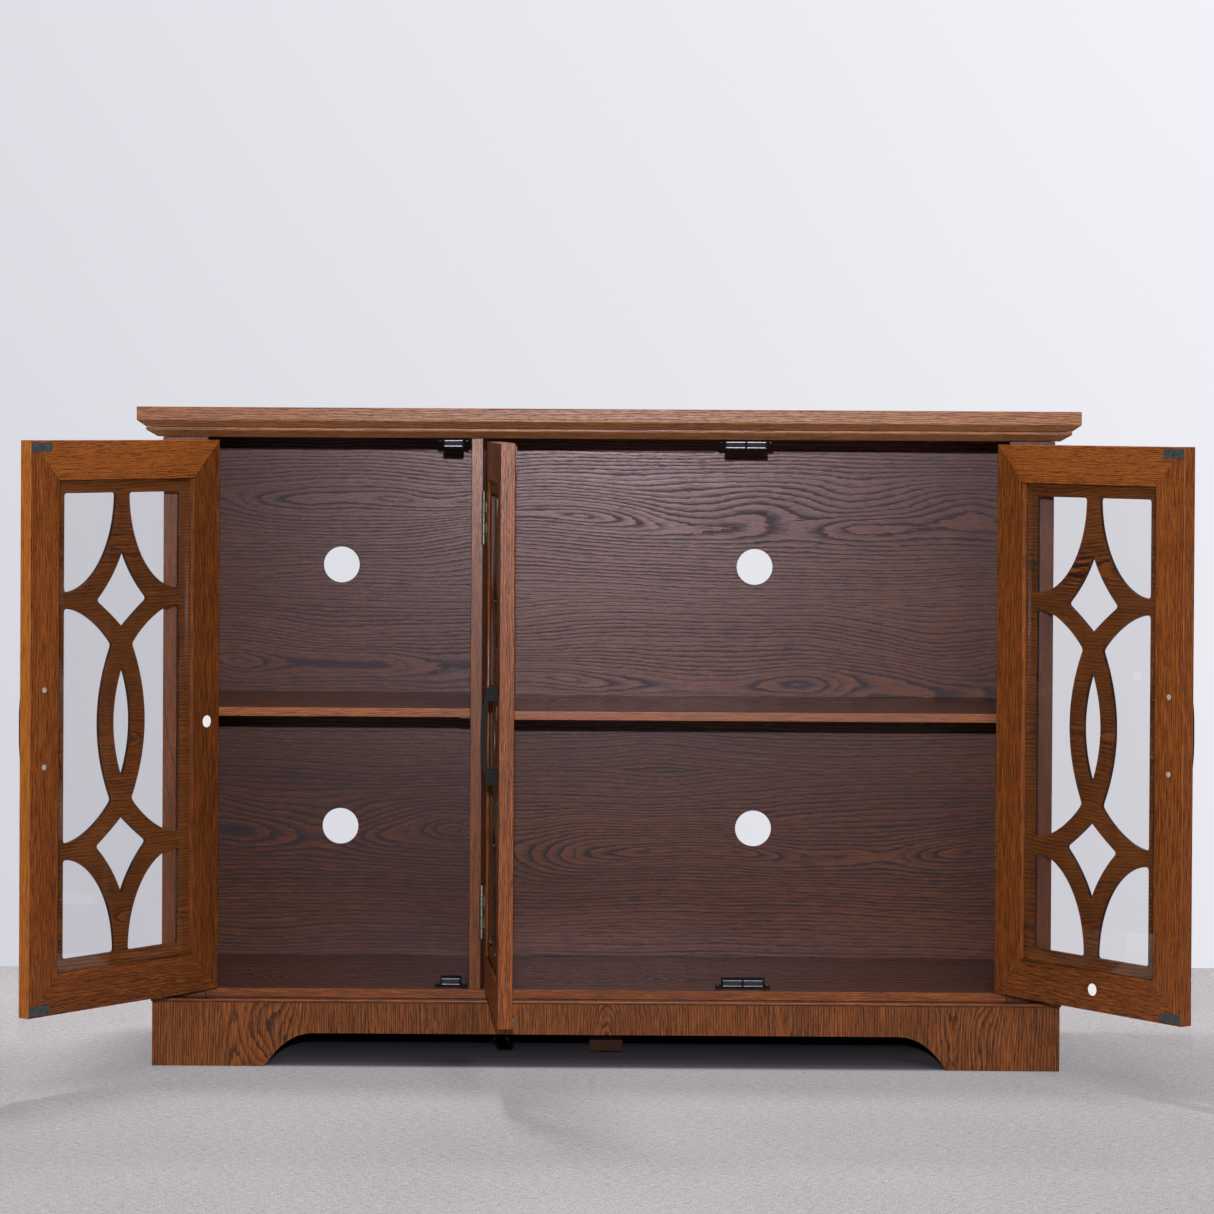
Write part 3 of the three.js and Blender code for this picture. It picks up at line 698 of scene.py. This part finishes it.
# For each node: material, the axis the grain runs along, the axis the wide face looks along, how
# far that face's middle is from the veneer's heart in metres, rounding of its edges, and the
# material of its front edge.
CARCASS_BOARDS = {
    "top_board": (OAK_CORNICE_SHEENED, "x", "z", 0.0, 0.8, None),
    "sub_top_board": (OAK_CORNICE_SHEENED, "x", "z", 0.0, 0.9, None),
    "left_side_panel": (OAK_CARCASS, "z", "x", 0.02, 0.5, None),
    "right_side_panel": (OAK_CARCASS, "z", "x", 0.05, 0.5, None),
    "left_front_stile": (OAK_CARCASS, "z", "y", STRAIGHT, 0.5, None),
    "right_front_stile": (OAK_CARCASS, "z", "y", STRAIGHT, 0.5, None),
    "centre_divider": (OAK_CARCASS, "z", "x", 0.03, 0.6, None),
    "bottom_board": (OAK_INSIDE, "x", "z", 0.01, 0.5, OAK_DOOR),
    "base_board": (OAK_CARCASS, "x", "z", 0.0, 1.7, None),
    "left_back_panel": (OAK_BACK, "x", "y", 0.045, 0.3, None),
    "right_back_panel": (OAK_BACK, "x", "y", 0.02, 0.3, None),
    "left_shelf": (OAK_INSIDE, "x", "z", 0.0, 0.7, OAK_DOOR),
    "right_shelf": (OAK_INSIDE, "x", "z", 0.04, 0.7, OAK_CARCASS),
    "front_plinth": (OAK_PLINTH, "z", "y", 0.0, 0.6, None),
    "left_plinth": (OAK_PLINTH, "z", "x", 0.0, 0.6, None),
    "right_plinth": (OAK_PLINTH, "z", "x", 0.03, 0.6, None),
}

# How much darker than its material a board is drawn. On right_front_stile it is painted shade, for
# the shadow that the open right door casts on it.
BOARD_TONES_AND_SHADE = {
    "right_back_panel": -0.12, "left_shelf": -0.20, "right_shelf": -0.16, "bottom_board": 0.08,
    "top_board": -0.04, "right_front_stile": 0.42,
}

for node, (material, along, main, offset, width, edge) in CARCASS_BOARDS.items():
    board = cad_copy(node)
    soften(board, width)
    add_piece(
        board, node + "_board", material, "carcass",
        replaces=[node], grain=(along, main, offset), edge=edge,
        tone_and_shade=BOARD_TONES_AND_SHADE.get(node, 0.0),
    )


GLIDE_HEIGHT = 4.0
GLIDE_RADIUS = 10.0
LEVELLING_FOOT_PLACE = (-143.0, 49.0)


def add_centre_foot():
    """A square wood block on a round glide, under the middle of the cabinet."""
    low, high = local_box("centre_foot", HERE)
    bm = bmesh.new()
    add_prism(bm, rectangle(low.x, high.x, low.y, high.y), GLIDE_HEIGHT, high.z, "xy")
    soften(bm, 0.8)
    # The block is drawn much darker: painted shade, for the shadow of the plinth over it.
    add_piece(
        bm, "centre_foot_block", OAK_PLINTH, "carcass",
        replaces=["centre_foot"], grain=("z", "y", STRAIGHT), tone_and_shade=0.75,
    )
    bm = bmesh.new()
    profile = [
        (0, 0), (GLIDE_RADIUS - 1.2, 0), (GLIDE_RADIUS, 1.0), (GLIDE_RADIUS, 3.2),
        (GLIDE_RADIUS - 0.8, GLIDE_HEIGHT), (0, GLIDE_HEIGHT),
    ]
    add_turned(bm, profile)
    add_piece(bm, "centre_foot_glide", BLACK_PLASTIC, "carcass")


def add_levelling_foot():
    """A black screw foot behind the plinth, under the divider."""
    bm = bmesh.new()
    profile = [
        (0, 0), (10.5, 0), (11.5, 1.0), (11.5, 6.0), (10.0, 8.0), (7.5, 9.5), (7.5, 22.0),
        (9.0, 24.0), (9.0, 60.0), (12.5, 66.0), (16.0, 80.0), (16.0, 83.6), (0, 83.6),
    ]
    add_turned(bm, profile, middle=LEVELLING_FOOT_PLACE)
    add_piece(bm, "levelling_foot", BLACK_PLASTIC, "carcass", crease=35)


def facing(place, direction):
    """A matrix that puts something's z axis along direction, at a place in millimetres."""
    turn = Vector(direction).to_track_quat("Z", "Y").to_matrix().to_4x4()
    return Matrix.Translation(Vector(place) * MM) @ turn


SCREW_SIDES = 48
SCREW_RINGS = [0.0, 0.12, 0.3, 0.5, 0.58, 0.75, 0.9, 1.0, 1.0]  # shares of the head's radius
SCREW_TURN = 0.4
RECESS_REACH = 0.5  # as a share of the head's radius
RECESS_HALF = 0.13
RECESS_DEPTH = 0.62  # as a share of the head's height


def add_screw(name, place, body, material, radius, height):
    """A round screw head with a cross recess. place puts z along the screw's outward side."""
    bm = bmesh.new()
    sides = SCREW_SIDES
    rings = []
    for order, share in enumerate(SCREW_RINGS):
        ring = []
        for i in range(sides if share > 0 else 1):
            angle = 2 * math.pi * i / sides
            dome = height * math.sqrt(max(0.0, 1.0 - 0.75 * share * share))
            arm = abs((math.degrees(angle) + 45.0) % 90.0 - 45.0)
            off_arm = share * math.sin(math.radians(arm))
            inside = share <= RECESS_REACH and off_arm < RECESS_HALF
            level = dome - (RECESS_DEPTH * height if inside else 0.0)
            if order == len(SCREW_RINGS) - 1:
                level = 0.0
            spin = angle + SCREW_TURN
            x = radius * share * math.cos(spin)
            y = radius * share * math.sin(spin)
            ring.append(bm.verts.new((x * MM, y * MM, level * MM)))
        rings.append(ring)
    for low, high in zip(rings, rings[1:]):
        for i in range(sides):
            j = (i + 1) % sides
            corners = [low[i % len(low)], low[j % len(low)], high[j], high[i]]
            bm.faces.new(list(dict.fromkeys(corners)))
    bm.faces.new(rings[-1][::-1])
    add_piece(bm, name, material, body, place, crease=38)


EAR_THICK = 3.0
EAR_LENGTH = 7.5
CATCH_DEPTH = 12.7
POLE_DEPTHS = {"near": 3.2, "far": 10.3}
POLE_THICK = 1.0
POLE_PROUD = 0.5
MAGNET_DEPTHS = (3.9, 9.6)
MAGNET_PROUD = 0.2
SET_IN = 3.0  # how far the poles and magnets reach into the body

# For each node: whether it hangs from the top, and where along x its magnets are.
CATCHES = {
    "left_top_catch": (True, [0.0]), "left_bottom_catch": (False, [0.0]),
    "centre_top_catch": (True, [-13.6, 13.6]), "centre_bottom_catch": (False, [-13.6, 13.6]),
}


def add_catch(node, top, poles):
    """A magnetic catch: an eared body, and two steel pole plates round each magnet."""
    low, high = local_box(node, HERE)
    middle = (low.x + high.x) / 2
    out = -1 if top else 1
    mounted = high.z if top else low.z
    ear = mounted + out * EAR_THICK
    face = mounted + out * CATCH_DEPTH
    body_half = (high.x - low.x) / 2 - EAR_LENGTH
    outline = [
        (low.x, mounted), (low.x, ear), (middle - body_half, ear), (middle - body_half, face),
        (middle + body_half, face), (middle + body_half, ear), (high.x, ear), (high.x, mounted),
    ]
    outline = rounded(outline, {1: 1.2, 3: 0.9, 4: 0.9, 6: 1.2}, 3)
    bm = bmesh.new()
    add_prism(bm, outline, low.y, high.y)
    soften(bm, 0.35, 2)
    add_piece(bm, node + "_body", BLACK_PLASTIC, "carcass", replaces=[node])
    pole_half = 11.5 if len(poles) == 1 else 12.4
    for number, shift in enumerate(poles):
        x_low = middle + shift - pole_half
        x_high = middle + shift + pole_half
        for level, depth in POLE_DEPTHS.items():
            z = mounted + out * depth
            plate = rectangle(x_low, x_high, z - POLE_THICK / 2, z + POLE_THICK / 2)
            bm = bmesh.new()
            add_prism(bm, plate, low.y - POLE_PROUD, low.y + SET_IN)
            soften(bm, 0.2, 2)
            add_piece(bm, f"{node}_pole_{number}_{level}", BRIGHT_STEEL, "carcass")
        bm = bmesh.new()
        z_ends = sorted(mounted + out * depth for depth in MAGNET_DEPTHS)
        magnet = rectangle(x_low + 0.6, x_high - 0.6, *z_ends)
        add_prism(bm, magnet, low.y - MAGNET_PROUD, low.y + SET_IN)
        soften(bm, 0.3, 2)
        add_piece(bm, f"{node}_magnet_{number}", FERRITE, "carcass")
    for side in (-1, 1):
        x = middle + side * (body_half + 3.9)
        place = facing((x, (low.y + high.y) / 2, ear), (0, 0, out))
        name = f"{node}_screw_{'left' if side < 0 else 'right'}"
        add_screw(name, place, "carcass", BRIGHT_STEEL, 2.7, 1.3)


CLIP_TAB = 14.0
CLIP_LEG = 15.5
CLIP_WIDTH = 11.0
CLIP_SINK = 0.9  # how far the leg reaches past the shelf's end, to the upright


def add_shelf_supports():
    """Bent steel clips: a tab under the shelf and a leg against the upright."""
    for shelf in ("left_shelf", "right_shelf"):
        low, high = local_box(shelf, HERE)
        for side, end in (("left", low.x), ("right", high.x)):
            inward = 1 if side == "left" else -1
            wall = end - inward * CLIP_SINK
            tip = wall + inward * CLIP_TAB
            leg = wall + inward * 0.8
            bottom = low.z
            outline = [
                (wall, bottom - 1.3), (tip, bottom - 1.3), (tip, bottom - 0.1),
                (leg, bottom - 0.1), (leg, bottom + CLIP_LEG), (wall, bottom + CLIP_LEG),
            ]
            for row, start in (("front", low.y + 3.0), ("back", high.y - 60.0)):
                bm = bmesh.new()
                add_prism(bm, outline, start, start + CLIP_WIDTH)
                soften(bm, 0.2, 2)
                name = f"{shelf}_support_{side}_{row}"
                add_piece(bm, name, ZINC, "carcass")


add_centre_foot()
add_levelling_foot()
for node, (top, poles) in CATCHES.items():
    add_catch(node, top, poles)
add_shelf_supports()

# ---------------------------------------------------------------- doors

DOOR_FOOT = 103.0
INNER_FACE = 21.7
HANDS = {"left_door": 1, "middle_door": 1, "right_door": -1}  # 1 where the pin is at the left

# How much darker than the rest each listed door member is drawn; a negative value draws it paler.
DOOR_TONES = {
    "left_door_hinge_stile": 0.14, "left_door_bottom_rail": 0.10, "right_door_hinge_stile": 0.04,
    "right_door_bottom_rail": 0.06, "left_door_top_rail": -0.22, "right_door_top_rail": -0.24,
    "right_door_free_stile": -0.07,
}

# The members whose free edge is drawn in a paler oak: a painted highlight where the edge faces the
# lamp by the camera.
PAINTED_LIT_EDGES = {"left_door_free_stile"}


def door_place(door):
    """Door coordinates to the row frame. The joint's lower limit is the closed door."""
    joint = next(j for j in frame["joints"] if j["child"] == door)
    hand = HANDS[door]
    pin = joint["pos_m"]
    opened = -math.radians(joint["range_deg"][0])
    return (
        Matrix.Translation((pin[0], pin[1], DOOR_FOOT * MM))
        @ Matrix.Rotation(-hand * opened, 4, "Z")
        @ Matrix.Diagonal((hand, 1.0, 1.0, 1.0))
    )


def on_mitre(edge):
    """True for an edge of a mitred end, which stays crisp where two members meet."""
    for face in edge.link_faces:
        n = face.normal
        if abs(abs(n.x) - abs(n.z)) < 0.05 and abs(n.y) < 0.05:
            return True
    return False


def add_door_frame(door, place):
    """Four mitred members, whose grain follows their length."""
    members = {
        "hinge_stile": ("z", 0.055), "free_stile": ("z", 0.075),
        "top_rail": ("x", 0.05), "bottom_rail": ("x", 0.07),
    }
    for member, (along, offset) in members.items():
        node = f"{door}_{member}"
        bm = cad_copy(node, place)
        bm.normal_update()
        soften(bm, 1.1, 3, on_mitre)
        add_piece(
            bm, node + "_board", OAK_DOOR, door, place, [node], (along, "y", offset),
            OAK_PAINTED_LIT_EDGE if node in PAINTED_LIT_EDGES else None, is_free_edge,
            tone_and_shade=DOOR_TONES.get(node, 0.0),
        )


FRET_HALF_WIDTH = 103.5
FRET_HALF_HEIGHT = 292.0
STEM_HALF = 12.3
CORNER_RISE = 124.0
SIDE_TIP = 147.2
WAIST = 98.5
WAIST_HALF = 17.8
RING_HALF = 41.4
QUARTER = 0.5523  # cubic handle that follows a quarter of an ellipse


def corner_opening(sx, sz):
    """A tall opening in a corner of the panel, with one curved side."""
    width = FRET_HALF_WIDTH - STEM_HALF
    foot = FRET_HALF_HEIGHT - CORNER_RISE
    start = (STEM_HALF, FRET_HALF_HEIGHT)
    curve = bezier([
        start, (STEM_HALF, FRET_HALF_HEIGHT - QUARTER * CORNER_RISE),
        (FRET_HALF_WIDTH - QUARTER * width, foot), (FRET_HALF_WIDTH, foot),
    ], 40)
    outline = [start, *curve, (FRET_HALF_WIDTH, FRET_HALF_HEIGHT)]
    outline = rounded(outline, {0: 4.5, 40: 5.0, 41: 4.5})
    return [(sx * x, sz * z) for x, z in outline]


def diamond_opening(sz):
    """A kite with hollow sides, above or below the ring."""
    tip = (0, 218.7)
    base = (0, 120.8)
    right = (46, 155.6)
    left = (-46, 155.6)
    outline = [tip]
    outline += bezier([tip, (15, 184), right], 16)
    outline += bezier([right, (21, 139), base], 16)
    outline += bezier([base, (-21, 139), left], 16)
    outline += bezier([left, (-15, 184), tip], 16)[:-1]
    outline = rounded(outline, {0: 1.6, 16: 5.0, 32: 3.0, 48: 5.0})
    return [(x, sz * z) for x, z in outline]


def side_opening(sx):
    """The long opening at one side of the ring."""
    reach = 2 * RING_HALF - WAIST_HALF
    top = (FRET_HALF_WIDTH, SIDE_TIP)
    waist = (WAIST_HALF, WAIST)
    low_waist = (WAIST_HALF, -WAIST)
    foot = (FRET_HALF_WIDTH, -SIDE_TIP)
    outline = [top]
    outline += bezier([top, (69, SIDE_TIP), (33, 118), waist], 28)
    outline += bezier([waist, (reach, 0), low_waist], 40)
    outline += bezier([low_waist, (33, -118), (69, -SIDE_TIP), foot], 28)
    outline = rounded(outline, {0: 5.0, 28: 4.0, 68: 4.0, 96: 5.0})
    return [(sx * x, z) for x, z in outline]


def eye_opening():
    """The pointed oval in the middle of the ring."""
    tip = (0, 70.6)
    base = (0, -70.6)
    outline = [tip, *bezier([tip, (30.2, 0), base], 40)]
    outline += bezier([base, (-30.2, 0), tip], 40)[:-1]
    return rounded(outline, {0: 2.0, 40: 2.0})


def add_lattice(door, place):
    """The pierced panel: a filled outline with its openings, extruded, with eased edges."""
    node = door + "_lattice"
    low, high = local_box(node, place)
    middle_x = (low.x + high.x) / 2
    middle_z = (low.z + high.z) / 2
    half_x = (high.x - low.x) / 2
    half_z = (high.z - low.z) / 2
    outlines = [rectangle(-half_x, half_x, -half_z, half_z)]
    outlines += [corner_opening(sx, sz) for sx in (-1, 1) for sz in (-1, 1)]
    outlines += [diamond_opening(1), diamond_opening(-1), side_opening(1), side_opening(-1)]
    outlines += [eye_opening()]
    easing = 0.7
    curve = bpy.data.curves.new("outline", "CURVE")
    curve.dimensions = "2D"
    curve.fill_mode = "BOTH"
    curve.extrude = ((high.y - low.y) / 2 - easing) * MM
    curve.bevel_depth = easing * MM
    curve.bevel_resolution = 2
    curve.offset = -easing * MM
    for outline in outlines:
        spline = curve.splines.new("POLY")
        spline.points.add(len(outline) - 1)
        for point, (x, z) in zip(spline.points, outline):
            point.co = (x * MM, z * MM, 0.0, 1.0)
        spline.use_cyclic_u = True
    drawn = bpy.data.objects.new("outline", curve)
    scene.collection.objects.link(drawn)
    bpy.context.view_layer.update()
    solved = drawn.evaluated_get(bpy.context.evaluated_depsgraph_get())
    mesh = bpy.data.meshes.new_from_object(solved)
    bpy.data.objects.remove(drawn)
    bm = bmesh.new()
    bm.from_mesh(mesh)
    upright = Matrix.Translation(Vector((middle_x, (low.y + high.y) / 2, middle_z)) * MM)
    upright = upright @ Matrix.Rotation(math.pi / 2, 4, "X")
    bmesh.ops.transform(bm, matrix=upright, verts=bm.verts)
    bmesh.ops.remove_doubles(bm, verts=bm.verts, dist=2e-6)
    add_piece(
        bm, door + "_fretwork", OAK_FRETWORK, door, place, [node],
        ("x", "y", 0.02), OAK_CUT, is_cut_wall, crease=60,
    )


def add_handle(door, place):
    """A black bow pull: two square feet with cut corners and a slightly bowed bar."""
    node = door + "_handle"
    low, high = local_box(node, place)
    middle = (low.z + high.z) / 2
    half = (high.z - low.z) / 2
    reach = high.y - low.y
    inner = reach - 6.0
    foot = 19.0
    outline = [(0, half), (-9, half), (-13, half - 4)]
    outline += bezier([(-13, half - 4), (-reach, 42), (-reach, 20), (-reach, 0)], 10)
    outline += bezier([(-reach, 0), (-reach, -20), (-reach, -42), (-13, 4 - half)], 10)
    outline += [(-9, -half), (0, -half), (0, foot - half), (2 - inner, foot - half)]
    outline += bezier([(2 - inner, foot - half), (-inner - 1, 0), (2 - inner, half - foot)], 12)
    outline += [(0, half - foot)]
    placed = [(high.y + y, middle + z) for y, z in outline]
    bm = bmesh.new()
    add_prism(bm, placed, low.x, high.x, "yz")
    soften(bm, 0.9, 3)
    add_piece(bm, node + "_pull", BLACK_METAL, door, place, [node], crease=40)
    x = (low.x + high.x) / 2
    for level, z in (("upper", middle + 48.0), ("lower", middle - 48.0)):
        head = place @ facing((x, INNER_FACE, z), (0, 1, 0))
        add_screw(f"{node}_screw_{level}", head, door, SCREW_STEEL, 3.5, 1.5)


def add_strikes(door, place):
    """The two plates that meet the catches: square at one end, round at the other."""
    for level in ("upper", "lower"):
        node = f"{door}_{level}_strike_plate"
        low, high = local_box(node, place)
        radius = (high.z - low.z) / 2
        middle = (high.z + low.z) / 2
        outline = [(high.x, low.z), (high.x, high.z)]
        steps = 12
        for i in range(steps + 1):
            angle = math.pi / 2 + math.pi * i / steps
            x = low.x + radius + radius * math.cos(angle)
            outline.append((x, middle + radius * math.sin(angle)))
        outline = rounded(outline, {0: 2.0, 1: 2.0}, 4)
        bm = bmesh.new()
        add_prism(bm, outline, INNER_FACE, high.y)
        soften(bm, 0.3, 2)
        add_piece(bm, node + "_zinc", ZINC, door, place, [node])
        head = place @ facing(((low.x + high.x) / 2, high.y, middle), (0, 1, 0))
        add_screw(node + "_screw", head, door, NICKEL, 2.7, 0.3)


HINGE_LENGTH = 70.0
KNUCKLES = 5
KNUCKLE_RADIUS = 3.0
KNUCKLE_GAP = 0.15
KNUCKLE_EASE = 0.35
LEAF_SCREWS = {-23.0: 8.6, 0.0: 12.6, 23.0: 8.6}  # height from the middle: distance from the pin
LEAF_NEAR = 0.25
LEAF_FAR = 1.05
LEAF_START = 3.4
LEAF_END = 17.4


def add_leaf(name, place, body, node, toward, parity):
    """One leaf of a butt hinge round the pin, with its own knuckles and three screws.

    toward is the side of x that the leaf lies on, and parity picks its knuckles: 0 has the pin.
    """
    half = HINGE_LENGTH / 2
    pitch = HINGE_LENGTH / KNUCKLES
    x_low, x_high = sorted((toward * LEAF_NEAR, toward * LEAF_FAR))
    plate = [(LEAF_START, -half), (LEAF_END, -half), (LEAF_END, half), (LEAF_START, half)]
    bm = bmesh.new()
    add_prism(bm, rounded(plate, {1: 2.2, 2: 2.2}, 5), x_low, x_high, "yz")
    for i in range(parity, KNUCKLES, 2):
        z_low = -half + i * pitch + (KNUCKLE_GAP if i > 0 else 0.0)
        z_high = -half + (i + 1) * pitch - (KNUCKLE_GAP if i < KNUCKLES - 1 else 0.0)
        radius = KNUCKLE_RADIUS
        eased = radius - KNUCKLE_EASE
        profile = [
            (0, z_low), (eased, z_low), (radius, z_low + KNUCKLE_EASE),
            (radius, z_high - KNUCKLE_EASE), (eased, z_high), (0, z_high),
        ]
        add_turned(bm, profile, sides=28)
        add_prism(bm, rectangle(2.1, 3.9, z_low, z_high), x_low, x_high, "yz")
    if parity == 0:
        for end in (-1, 1):
            tip = [(0, end * half), (1.9, end * half), (1.7, end * (half + 0.5)),
                   (1.0, end * (half + 0.9)), (0, end * (half + 1.0))]
            add_turned(bm, tip[::end], sides=20)
    add_piece(bm, name, NICKEL, body, place, [node], crease=40)
    for i, (z, y) in enumerate(LEAF_SCREWS.items()):
        head = place @ facing((toward * LEAF_NEAR, y, z), (-toward, 0, 0))
        add_screw(f"{name}_screw_{i}", head, body, NICKEL, 2.4, 0.16)


def add_hinges(door, place):
    """Both hinges of a door: one leaf stays with the carcass, and one goes with the door."""
    hand = HANDS[door]
    joint = next(j for j in frame["joints"] if j["child"] == door)
    pin = Vector(joint["pos_m"])
    mirrored = Matrix.Diagonal((hand, 1.0, 1.0, 1.0))
    for level in ("upper", "lower"):
        fixed = f"{door}_{level}_hinge_fixed_leaf"
        moving = f"{door}_{level}_hinge_door_leaf"
        low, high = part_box(fixed)
        z = (low.z + high.z) / 2
        carcass_place = Matrix.Translation((pin.x, pin.y, z)) @ mirrored
        add_leaf(fixed + "_plated", carcass_place, "carcass", fixed, -1, 0)
        door_side = place @ Matrix.Translation((0, 0, z - DOOR_FOOT * MM))
        add_leaf(moving + "_plated", door_side, door, moving, 1, 1)


DOT_RADIUS = 7.7
DOT_PROFILE = [(0, 0), (DOT_RADIUS, 0), (DOT_RADIUS, 0.14), (DOT_RADIUS - 0.3, 0.2), (0, 0.2)]


def add_dot(name, door, place, x, z):
    """A blank round paper label on the door's inner face."""
    bm = bmesh.new()
    add_turned(bm, DOT_PROFILE, sides=48)
    add_piece(bm, name, PAPER, door, place @ facing((x, INNER_FACE, z), (0, 1, 0)))


for door in HANDS:
    place = door_place(door)
    add_door_frame(door, place)
    add_lattice(door, place)
    add_handle(door, place)
    add_strikes(door, place)
    add_hinges(door, place)
    pane = frame["nodes"][door + "_glass"]
    pane.data.materials.clear()
    pane.data.materials.append(GLASS)

add_dot("left_door_paper_dot", "left_door", door_place("left_door"), 24.8, 350.5)
add_dot("right_door_paper_dot", "right_door", door_place("right_door"), 185.3, 27.3)
